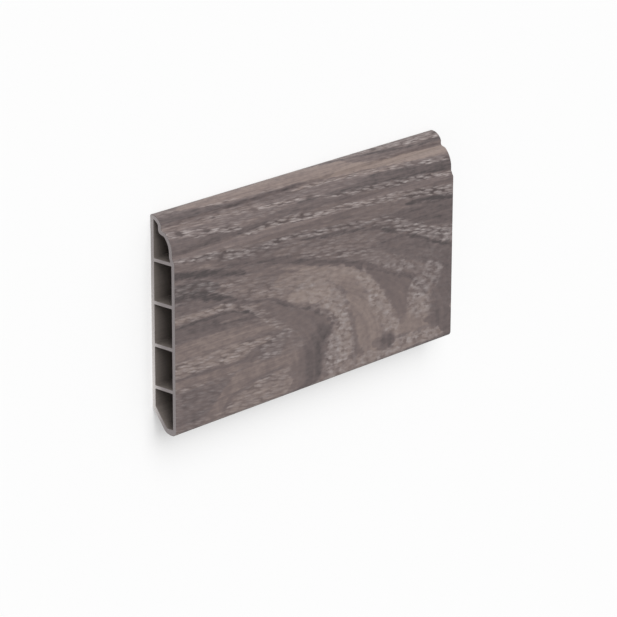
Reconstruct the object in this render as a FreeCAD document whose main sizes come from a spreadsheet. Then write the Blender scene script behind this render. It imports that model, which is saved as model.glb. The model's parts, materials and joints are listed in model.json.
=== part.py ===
import FreeCAD, Part
import math
import os
import Sketcher

# A length of hollow skirting board, lying on its back with its moulded face up.
# X runs along the board, Y from the floor edge (-) to the moulded top edge (+),
# and Z from the wall side (0) up to the face. The origin is the middle of the wall side.
# Heights count up from the floor edge, drops count down from the top edge,
# and depths count up from the wall side. All values are millimetres.

SIZES = {
    "board_length": 188.0,
    "board_height": 100.0,
    "board_thickness": 14.5,
    "film_thickness": 0.2,
    "film_back_lap": 6.5,
    "top_back_radius": 0.6,
    "bead_radius": 6.0,
    "bead_centre_depth": 0.9,
    "bead_depth": 6.5,
    "bead_drop": 6.2,
    "ledge_drop": 6.9,
    "ledge_radius": 1.2,
    "ledge_edge_radius": 2.0,
    "ovolo_radius": 11.9,
    "ovolo_drop": 15.8,
    "quirk_drop": 17.3,
    "quirk_width": 1.4,
    "moulding_drop": 20.2,
    "nose_radius": 2.2,
    "heel_depth": 10.3,
    "heel_radius": 4.0,
    "chamfer_height": 11.0,
    "front_wall": 1.9,
    "back_wall": 1.8,
    "floor_wall": 2.7,
    "web_thickness": 1.5,
    "first_web_height": 20.6,
    "last_web_drop": 20.45,
    "chamber_radius": 0.4,
    "ledge_inner_radius": 2.4,
    "heel_inner_radius": 2.0,
}
WEB_COUNT = 4

# The two ends and the centre of a sketch element, and the sketch's own origin.
START = 1
END = 2
CENTRE = 3
ORIGIN = -1

# How near an edge lies to the place where it is looked for.
NEAR = 0.01

# The stretches of the moulded face, in order from the wall side over the top and down to the floor.
LAP, TOP_CORNER, TOP, BEAD, BEAD_QUIRK, LEDGE, OVOLO, QUIRK, SPLAY, FACE, NOSE, UNDERSIDE = range(12)
TANGENT_AFTER = (LAP, TOP_CORNER, TOP, OVOLO, FACE, NOSE)
ARC_RADII = {
    TOP_CORNER: "top_back_radius",
    BEAD: "bead_radius",
    OVOLO: "ovolo_radius",
    NOSE: "nose_radius",
}

doc = FreeCAD.newDocument("skirting_board_length")


def make_sheet():
    """Put the driving dimensions in a spreadsheet, one alias a row."""
    spreadsheet = doc.addObject("Spreadsheet::Sheet", "Sizes")
    for row, (alias, value) in enumerate(SIZES.items(), start=1):
        spreadsheet.set("A%d" % row, alias)
        spreadsheet.set("B%d" % row, str(value))
        spreadsheet.setAlias("B%d" % row, alias)
    doc.recompute()
    return spreadsheet


sheet = make_sheet()


def size(alias):
    """Read one driving dimension from the spreadsheet."""
    return float(sheet.get(alias))


def new_body(name):
    """Add a body whose label is the name of its node."""
    body = doc.addObject("PartDesign::Body", name)
    body.Label = name
    return body


class Section:
    """A sketch on a body's own cross-section plane, with every element tied to the sheet.

    Its first axis runs up the board from the middle, and its second from the wall side to the face.
    """

    def __init__(self, body, name):
        self.sketch = body.newObject("Sketcher::SketchObject", name)
        for plane in body.Origin.OriginFeatures:
            if plane.Role == "YZ_Plane":
                self.sketch.AttachmentSupport = [(plane, "")]
        self.sketch.MapMode = "FlatFace"

    def line(self, start, end):
        """Add a straight stretch near its place and return its number."""
        segment = Part.LineSegment(FreeCAD.Vector(*start, 0), FreeCAD.Vector(*end, 0))
        return self.sketch.addGeometry(segment, False)

    def arc(self, centre, start, end):
        """Add a round stretch, anticlockwise from start to end, and return its number."""
        radius = math.hypot(start[0] - centre[0], start[1] - centre[1])
        circle = Part.Circle(FreeCAD.Vector(*centre, 0), FreeCAD.Vector(0, 0, 1), radius)
        angles = [math.atan2(point[1] - centre[1], point[0] - centre[0]) for point in (start, end)]
        return self.sketch.addGeometry(Part.ArcOfCircle(circle, *angles), False)

    def rule(self, kind, *elements):
        """Add a constraint that needs no size."""
        self.sketch.addConstraint(Sketcher.Constraint(kind, *elements))

    def bind(self, kind, elements, value, formula):
        """Add a constraint with a size, and tie that size to the sheet."""
        number = self.sketch.addConstraint(Sketcher.Constraint(kind, *elements, value))
        self.sketch.setExpression("Constraints[%d]" % number, formula)

    def at_height(self, element, point, height, formula):
        """Fix a point's height above the floor edge."""
        value = height - size("board_height") / 2
        formula = "%s - Sizes.board_height / 2" % formula
        self.bind("DistanceX", (ORIGIN, START, element, point), value, formula)

    def at_depth(self, element, point, depth, formula):
        """Fix a point's depth above the wall side."""
        self.bind("DistanceY", (ORIGIN, START, element, point), depth, formula)

    def on_wall_side(self, element, point):
        """Put a point on the wall side itself."""
        self.rule("PointOnObject", element, point, ORIGIN)

    def place(self, element, point):
        """Give where a point of an element lies."""
        found = self.sketch.getPoint(element, point)
        return found.x, found.y

    def hide(self, elements):
        """Turn elements into construction lines, which bound no solid."""
        for element in elements:
            self.sketch.toggleConstruction(element)


def face_corners(inset):
    """Give rough starting places for the ends of the face's stretches, at an inset from the skin."""
    half = size("board_height") / 2
    depth = size("board_thickness") - inset
    bead_centre = (half - size("bead_radius"), size("bead_centre_depth"))
    bead_wall = size("bead_depth") - inset
    bead_rise = math.sqrt((size("bead_radius") - inset) ** 2 - (bead_wall - bead_centre[1]) ** 2)
    quirk_wall = depth - size("quirk_width")
    ovolo_centre = (half - size("ovolo_drop"), quirk_wall + inset - size("ovolo_radius"))
    ledge_top = half - size("ledge_drop") - inset
    ovolo_reach = (size("ovolo_radius") - inset) ** 2 - (ledge_top - ovolo_centre[0]) ** 2
    corner = size("top_back_radius")
    nose = size("nose_radius")
    points = [
        (half - size("film_back_lap"), inset),
        (half - corner, inset),
        (half - inset, corner),
        (half - inset, bead_centre[1]),
        (bead_centre[0] + bead_rise, bead_wall),
        (half - size("bead_drop") - inset, bead_wall),
        (ledge_top, ovolo_centre[1] + math.sqrt(ovolo_reach)),
        (ovolo_centre[0], quirk_wall),
        (half - size("quirk_drop"), quirk_wall),
        (half - size("moulding_drop"), depth),
        (nose - half, depth),
        (inset - half, depth + inset - nose),
        (inset - half, size("heel_depth")),
    ]
    centres = {
        TOP_CORNER: (half - corner, corner),
        BEAD: bead_centre,
        OVOLO: ovolo_centre,
        NOSE: (nose - half, depth + inset - nose),
    }
    return points, centres


def add_stretches(section, first, last, inset):
    """Draw the stretches first to last of the face, joined end to end."""
    points, centres = face_corners(inset)
    stretches = {}
    for stretch in range(first, last + 1):
        ends = (points[stretch], points[stretch + 1])
        if stretch in ARC_RADII:
            stretches[stretch] = section.arc(centres[stretch], *ends)
        else:
            stretches[stretch] = section.line(*ends)
    for stretch in range(first, last):
        kind = "Tangent" if stretch in TANGENT_AFTER else "Coincident"
        section.rule(kind, stretches[stretch], END, stretches[stretch + 1], START)
    return stretches


def add_skin(section):
    """Draw the outer skin of the board from the back lap to the heel, tied to the sheet."""
    skin = add_stretches(section, LAP, UNDERSIDE, 0)
    board = size("board_height")
    for stretch in (LAP, BEAD_QUIRK, QUIRK, FACE):
        section.rule("Horizontal", skin[stretch])
    for stretch in (TOP, UNDERSIDE):
        section.rule("Vertical", skin[stretch])
    for stretch, alias in ARC_RADII.items():
        section.bind("Radius", (skin[stretch],), size(alias), "Sizes.%s" % alias)
    drops = (
        (LAP, START, "film_back_lap"),
        (BEAD_QUIRK, END, "bead_drop"),
        (LEDGE, END, "ledge_drop"),
        (QUIRK, START, "ovolo_drop"),
        (QUIRK, END, "quirk_drop"),
        (SPLAY, END, "moulding_drop"),
    )
    for stretch, point, alias in drops:
        formula = "Sizes.board_height - Sizes.%s" % alias
        section.at_height(skin[stretch], point, board - size(alias), formula)
    section.at_height(skin[TOP], START, board, "Sizes.board_height")
    section.at_height(skin[UNDERSIDE], END, 0, "0")
    thickness = size("board_thickness")
    quirk_depth = thickness - size("quirk_width")
    section.on_wall_side(skin[LAP], START)
    section.at_depth(skin[BEAD], CENTRE, size("bead_centre_depth"), "Sizes.bead_centre_depth")
    section.at_depth(skin[BEAD_QUIRK], START, size("bead_depth"), "Sizes.bead_depth")
    quirk_formula = "Sizes.board_thickness - Sizes.quirk_width"
    section.at_depth(skin[QUIRK], END, quirk_depth, quirk_formula)
    section.at_depth(skin[SPLAY], END, thickness, "Sizes.board_thickness")
    section.at_depth(skin[UNDERSIDE], END, size("heel_depth"), "Sizes.heel_depth")
    return skin


def add_inset(section, skin, alias, first, last):
    """Draw a line that runs inside the skin, at the distance that the alias gives."""
    inset = size(alias)
    inner = add_stretches(section, first, last, inset)
    for stretch, element in inner.items():
        if stretch in ARC_RADII:
            section.rule("Coincident", element, CENTRE, skin[stretch], CENTRE)
            radius_alias = ARC_RADII[stretch]
            formula = "Sizes.%s - Sizes.%s" % (radius_alias, alias)
            section.bind("Radius", (element,), size(radius_alias) - inset, formula)
        elif stretch != TOP:
            section.rule("Parallel", element, skin[stretch])
        if stretch in (BEAD_QUIRK, LEDGE, SPLAY):
            formula = "Sizes.%s" % alias
            section.bind("Distance", (element, START, skin[stretch]), inset, formula)
    return inner


def add_film_edge(section, skin):
    """Draw the face between the film and the profile, with its two ends level with the skin's."""
    inner = add_inset(section, skin, "film_thickness", LAP, UNDERSIDE)
    lap_height = size("board_height") - size("film_back_lap")
    lap_formula = "Sizes.board_height - Sizes.film_back_lap"
    section.at_height(inner[LAP], START, lap_height, lap_formula)
    section.at_depth(inner[UNDERSIDE], END, size("heel_depth"), "Sizes.heel_depth")
    return inner


def join(section, first, first_point, second, second_point):
    """Add a straight stretch between two points that are already drawn."""
    stretch = section.line(section.place(first, first_point), section.place(second, second_point))
    section.rule("Coincident", stretch, START, first, first_point)
    section.rule("Coincident", stretch, END, second, second_point)
    return stretch


def pad(body, section, name):
    """Extrude a section to the board's length, half to each side of the middle."""
    feature = body.newObject("PartDesign::Pad", name)
    feature.Profile = section.sketch
    feature.Midplane = True
    feature.setExpression("Length", "Sizes.board_length")
    return feature


def round_corners(body, name, formula, places):
    """Round the long edges that lie at the given places of the section."""
    doc.recompute()
    base = body.Tip
    names = []
    for number, edge in enumerate(base.Shape.Edges, start=1):
        box = edge.BoundBox
        along = box.XLength > size("board_length") / 2
        if along and any(math.dist((box.YMin, box.ZMin), place) < NEAR for place in places):
            names.append("Edge%d" % number)
    fillet = body.newObject("PartDesign::Fillet", name)
    fillet.Base = (base, names)
    fillet.setExpression("Radius", formula)
    body.Tip = fillet


def ledge_ends(section, stretches):
    """Give the ledge's foot under the bead and its edge over the ovolo."""
    return [section.place(stretches[LEDGE], point) for point in (START, END)]


def round_ledge(body, side, ends, inset="0"):
    """Round the hollow foot of the ledge and its outer edge, on a surface that lies inset from the skin."""
    foot, edge = ends
    round_corners(body, "ledge_foot_%s" % side, "Sizes.ledge_radius + %s" % inset, [foot])
    round_corners(body, "ledge_edge_%s" % side, "Sizes.ledge_edge_radius - %s" % inset, [edge])


def make_film():
    """Build the printed film that wraps the face, the top edge and the nose."""
    body = new_body("decor_film")
    section = Section(body, "film_section")
    skin = add_skin(section)
    inner = add_film_edge(section, skin)
    join(section, skin[LAP], START, inner[LAP], START)
    join(section, skin[UNDERSIDE], END, inner[UNDERSIDE], END)
    pad(body, section, "film_length")
    round_ledge(body, "skin", ledge_ends(section, skin))
    round_ledge(body, "inner", ledge_ends(section, inner), "Sizes.film_thickness")
    return body


def add_heel(section, underside):
    """Draw the round heel after the underside, and the chamfer from it up to the back."""
    start = section.place(underside, END)
    radius = size("heel_radius")
    centre = (start[0] + radius, start[1])
    foot = (size("chamfer_height") - size("board_height") / 2, 0)
    reach = math.dist(centre, foot)
    slope = math.atan2(foot[1] - centre[1], foot[0] - centre[0]) + math.asin(radius / reach)
    touch = (centre[0] + radius * math.sin(slope), centre[1] - radius * math.cos(slope))
    heel = section.arc(centre, start, touch)
    chamfer = section.line(touch, foot)
    section.rule("Tangent", underside, END, heel, START)
    section.bind("Radius", (heel,), radius, "Sizes.heel_radius")
    section.rule("Tangent", heel, END, chamfer, START)
    section.at_height(chamfer, END, size("chamfer_height"), "Sizes.chamfer_height")
    section.on_wall_side(chamfer, END)
    return heel, chamfer


def make_outline(body):
    """Extrude the profile's outside, which the film covers from the back lap to the heel.

    It returns the two ends of the ledge, which are rounded after the chambers are cut.
    """
    section = Section(body, "outline_section")
    skin = add_skin(section)
    inner = add_film_edge(section, skin)
    chamfer = add_heel(section, inner[UNDERSIDE])[1]
    join(section, inner[LAP], START, skin[LAP], START)
    join(section, skin[LAP], START, chamfer, END)
    section.hide(skin.values())
    pad(body, section, "outline_length")
    return ledge_ends(section, inner)


def cut(body, section, name):
    """Cut a section right through the board's length."""
    feature = body.newObject("PartDesign::Pocket", name)
    feature.Profile = section.sketch
    feature.Type = "ThroughAll"
    feature.Midplane = True
    return feature


def web_face(number, side):
    """Height of one side of a web: side -1 is the one nearer the floor, and 1 the upper one.

    The webs are evenly spaced from the first, near the floor, to the last, behind the moulding.
    """
    last_height = size("board_height") - size("last_web_drop")
    rise = (last_height - size("first_web_height")) * number / (WEB_COUNT - 1)
    value = size("first_web_height") + rise + side * size("web_thickness") / 2
    last_formula = "Sizes.board_height - Sizes.last_web_drop"
    share = "%d / %d" % (number, WEB_COUNT - 1)
    rise_formula = "(%s - Sizes.first_web_height) * %s" % (last_formula, share)
    half_formula = "%d * Sizes.web_thickness / 2" % side
    return value, "Sizes.first_web_height + %s + %s" % (rise_formula, half_formula)


def front_inside():
    """Depth of the front wall's inner side."""
    value = size("board_thickness") - size("front_wall")
    return value, "Sizes.board_thickness - Sizes.front_wall"


def back_inside():
    """Depth of the back wall's inner side."""
    return size("back_wall"), "Sizes.back_wall"


def add_loop(section, corners):
    """Draw straight sides round a closed chamber, each starting at its own corner."""
    sides = [section.line(corners[i - 1], corners[i]) for i in range(len(corners))]
    for i in range(len(sides)):
        section.rule("Coincident", sides[i - 1], END, sides[i], START)
    return sides


def cut_middle_chambers(body):
    """Cut the plain chambers between the webs, and return their corners."""
    section = Section(body, "middle_section")
    half = size("board_height") / 2
    corners = []
    for number in range(WEB_COUNT - 1):
        low = web_face(number, 1)
        high = web_face(number + 1, -1)
        places = (
            (low, back_inside()),
            (high, back_inside()),
            (high, front_inside()),
            (low, front_inside()),
        )
        loop = [(height[0] - half, depth[0]) for height, depth in places]
        sides = add_loop(section, loop)
        for side, (height, depth) in zip(sides, places):
            section.at_height(side, END, *height)
            section.at_depth(side, END, *depth)
        corners += loop
    cut(body, section, "middle_chambers")
    return corners


def cut_floor_chamber(body):
    """Cut the lowest chamber, which follows the chamfer, and return its small and round corners."""
    section = Section(body, "floor_section")
    skin = add_skin(section)
    inner = add_film_edge(section, skin)
    heel, chamfer = add_heel(section, inner[UNDERSIDE])
    section.hide([*skin.values(), *inner.values(), heel, chamfer])
    half = size("board_height") / 2
    floor = size("floor_wall") - half
    web = web_face(0, -1)
    front = front_inside()
    back = back_inside()
    top, foot = section.place(chamfer, START), section.place(chamfer, END)
    fall = (foot[1] - top[1]) / (foot[0] - top[0])
    slope_depth = back[0] * math.hypot(1, fall) - fall * foot[0]
    floor_corner = (floor, slope_depth + fall * floor)
    back_corner = ((back[0] - slope_depth) / fall, back[0])
    loop = [
        back_corner,
        (web[0] - half, back[0]),
        (web[0] - half, front[0]),
        (floor, front[0]),
        floor_corner,
    ]
    slope_side, back_side, web_side, front_side, floor_side = add_loop(section, loop)
    section.rule("Parallel", slope_side, chamfer)
    section.rule("Horizontal", back_side)
    section.rule("Vertical", web_side)
    section.rule("Horizontal", front_side)
    section.rule("Vertical", floor_side)
    section.at_height(web_side, START, *web)
    section.at_depth(web_side, START, *back)
    section.at_depth(front_side, START, *front)
    section.at_height(floor_side, START, size("floor_wall"), "Sizes.floor_wall")
    section.bind("Distance", (slope_side, START, chamfer), back[0], "Sizes.back_wall")
    cut(body, section, "floor_chamber")
    return loop[:-1], [floor_corner]


def cut_top_chamber(body):
    """Cut the uppermost chamber, which follows the moulding at the front wall's thickness.

    It returns the small corners at the web and the round corner under the ledge.
    """
    section = Section(body, "top_section")
    skin = add_skin(section)
    inner = add_inset(section, skin, "front_wall", BEAD, SPLAY)
    section.hide(skin.values())
    web = web_face(WEB_COUNT - 1, 1)
    back = back_inside()
    web_height = web[0] - size("board_height") / 2
    web_side = section.line(section.place(inner[SPLAY], END), (web_height, back[0]))
    back_side = section.line((web_height, back[0]), section.place(inner[BEAD], START))
    section.rule("Vertical", web_side)
    section.rule("Horizontal", back_side)
    section.rule("Coincident", inner[SPLAY], END, web_side, START)
    section.rule("Coincident", web_side, END, back_side, START)
    section.rule("Coincident", back_side, END, inner[BEAD], START)
    section.at_height(web_side, END, *web)
    section.at_depth(back_side, START, *back)
    cut(body, section, "top_chamber")
    small = [section.place(web_side, START), section.place(web_side, END)]
    return small, [section.place(inner[LEDGE], START)]


def make_profile():
    """Build the hollow profile: its outside, its five chambers and their inner radii."""
    body = new_body("hollow_profile")
    ledge = make_outline(body)
    middle_corners = cut_middle_chambers(body)
    floor_corners, heel_corner = cut_floor_chamber(body)
    top_corners, ledge_corner = cut_top_chamber(body)
    small_corners = middle_corners + floor_corners + top_corners
    round_corners(body, "chamber_corners", "Sizes.chamber_radius", small_corners)
    round_corners(body, "heel_corner", "Sizes.heel_inner_radius", heel_corner)
    round_corners(body, "ledge_corner", "Sizes.ledge_inner_radius", ledge_corner)
    round_ledge(body, "outline", ledge, "Sizes.film_thickness")
    return body


def check(bodies):
    """Stop if any object failed or any solid isn't whole."""
    for item in doc.Objects:
        if "Invalid" in item.State or "Error" in item.State:
            raise RuntimeError("%s failed: %s" % (item.Name, item.State))
        if item.TypeId == "Sketcher::SketchObject" and not item.FullyConstrained:
            raise RuntimeError("%s isn't fully constrained" % item.Name)
    for body in bodies:
        if body.Shape.isNull() or not body.Shape.isValid() or len(body.Shape.Solids) != 1:
            raise RuntimeError("%s isn't one whole solid" % body.Label)


def main():
    """Build both pieces and write each to its own file."""
    bodies = [make_profile(), make_film()]
    doc.recompute()
    check(bodies)
    os.makedirs("parts", exist_ok=True)
    for body in bodies:
        body.Shape.exportStep("parts/%s.step" % body.Label)
        box = body.Shape.BoundBox
        print("%s: %.1f x %.1f x %.2f mm, %.2f cm3"
              % (body.Label, box.XLength, box.YLength, box.ZLength, body.Shape.Volume / 1000))


main()
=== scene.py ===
"""Dresses a short length of hollow skirting board: a grey PVC extrusion wrapped in a printed oak film.

The board lies on its back on a pale floor. X runs along it, Y from the floor edge to the moulded edge,
and Z up through its thickness. The two CAD nodes keep their shapes, and take their finishes here.
"""

import json
import logging
import math
from dataclasses import dataclass
from enum import Enum

import bpy
from mathutils import Euler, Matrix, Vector

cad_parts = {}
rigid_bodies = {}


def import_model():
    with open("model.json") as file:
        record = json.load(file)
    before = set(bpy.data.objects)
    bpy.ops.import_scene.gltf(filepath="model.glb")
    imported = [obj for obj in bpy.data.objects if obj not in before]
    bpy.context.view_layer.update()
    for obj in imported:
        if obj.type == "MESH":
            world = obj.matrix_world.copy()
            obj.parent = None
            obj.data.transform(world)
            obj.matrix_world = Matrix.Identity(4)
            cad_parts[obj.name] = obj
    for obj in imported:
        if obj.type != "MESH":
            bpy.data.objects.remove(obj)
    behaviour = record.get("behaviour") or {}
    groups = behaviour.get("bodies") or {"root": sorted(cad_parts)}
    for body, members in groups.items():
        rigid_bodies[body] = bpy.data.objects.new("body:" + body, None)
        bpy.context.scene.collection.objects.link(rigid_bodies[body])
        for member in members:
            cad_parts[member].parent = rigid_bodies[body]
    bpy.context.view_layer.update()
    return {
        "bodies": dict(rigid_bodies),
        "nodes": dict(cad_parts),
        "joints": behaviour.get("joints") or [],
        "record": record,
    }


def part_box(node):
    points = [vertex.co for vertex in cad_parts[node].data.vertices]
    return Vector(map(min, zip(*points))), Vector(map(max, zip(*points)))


MM = 0.001
LOG = logging.getLogger("skirting")

# A Mix node's sockets: its two numbers, its two colours and the colour that it gives.
NUMBER_A = 2
NUMBER_B = 3
COLOUR_A = 6
COLOUR_B = 7
MIXED_COLOUR = 2

Material = bpy.types.Material
Socket = bpy.types.NodeSocket
Span = tuple[float, float]
Triple = tuple[float, float, float]
Tree = bpy.types.NodeTree


def linear(code: str) -> tuple[float, float, float, float]:
    """Turns an sRGB hex colour into the linear colour that Blender mixes in.

    Args:
        code: Six hex digits, with or without a leading hash.

    Returns:
        Red, green, blue and alpha, with alpha at 1.
    """
    digits = code.lstrip("#")
    values = [int(digits[i : i + 2], 16) / 255 for i in (0, 2, 4)]
    red, green, blue = (v / 12.92 if v <= 0.04045 else ((v + 0.055) / 1.055) ** 2.4 for v in values)
    return red, green, blue, 1.0


def add_node(
    tree: Tree, kind: str, given: dict | None = None, output: int | str = 0, **settings: object
) -> Socket:
    """Adds a node, sets it up and links it.

    Args:
        tree: The node tree that it goes into.
        kind: Blender's name for the node, without "ShaderNode".
        given: A value or a socket for each input, by the input's name or number.
        output: The output to give back, by name or number.
        settings: The node's own settings.

    Returns:
        The chosen output socket, or the first input of a node that has no outputs.
    """
    node = tree.nodes.new("ShaderNode" + kind)
    for name, value in settings.items():
        setattr(node, name, value)
    for place, value in (given or {}).items():
        if isinstance(value, bpy.types.NodeSocket):
            tree.links.new(value, node.inputs[place])
        else:
            node.inputs[place].default_value = value
    return node.outputs[output] if node.outputs else node.inputs[0]


def stretched(tree: Tree, point: Socket, size: Span) -> Socket:
    """Scales a point so that one patch of a pattern measures 1 each way.

    Args:
        tree: The node tree.
        point: The point on the flat film, in mm.
        size: A patch's length along the grain and its width across it, in mm.

    Returns:
        The scaled point.
    """
    return add_node(tree, "VectorMath", {0: point, 1: (1 / size[0], 1 / size[1], 0)}, operation="MULTIPLY")


def fresh_material(name: str) -> Material:
    """Makes an empty node material.

    Args:
        name: The material's name.

    Returns:
        The material, with no nodes in it.
    """
    material = bpy.data.materials.new(name)
    material.use_nodes = True
    material.node_tree.nodes.clear()
    return material


@dataclass(frozen=True)
class Band:
    """One band of the printed grain, or the band of painted shade along the nose, drawn over those before
    it. All lengths are in mm on the flat film.

    Attributes:
        tone: How pale it is, from 0 for dark late wood to 1 for warm early wood.
        flecks: How much of it open pores break up, from 0 for none.
        edges: Points along it, each with its lower and its upper edge. An upright band has its points
            up the film instead, each with its near and its far edge. It ends where the edges meet.
        strength: How far it covers what is under it, from 0 to 1.
        soft: How far its edges fade.
        upright: Whether it runs up the film and not along it.
    """

    tone: float
    flecks: float
    edges: tuple[Triple, ...]
    strength: float = 0.9
    soft: float = 1.4
    upright: bool = False
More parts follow.
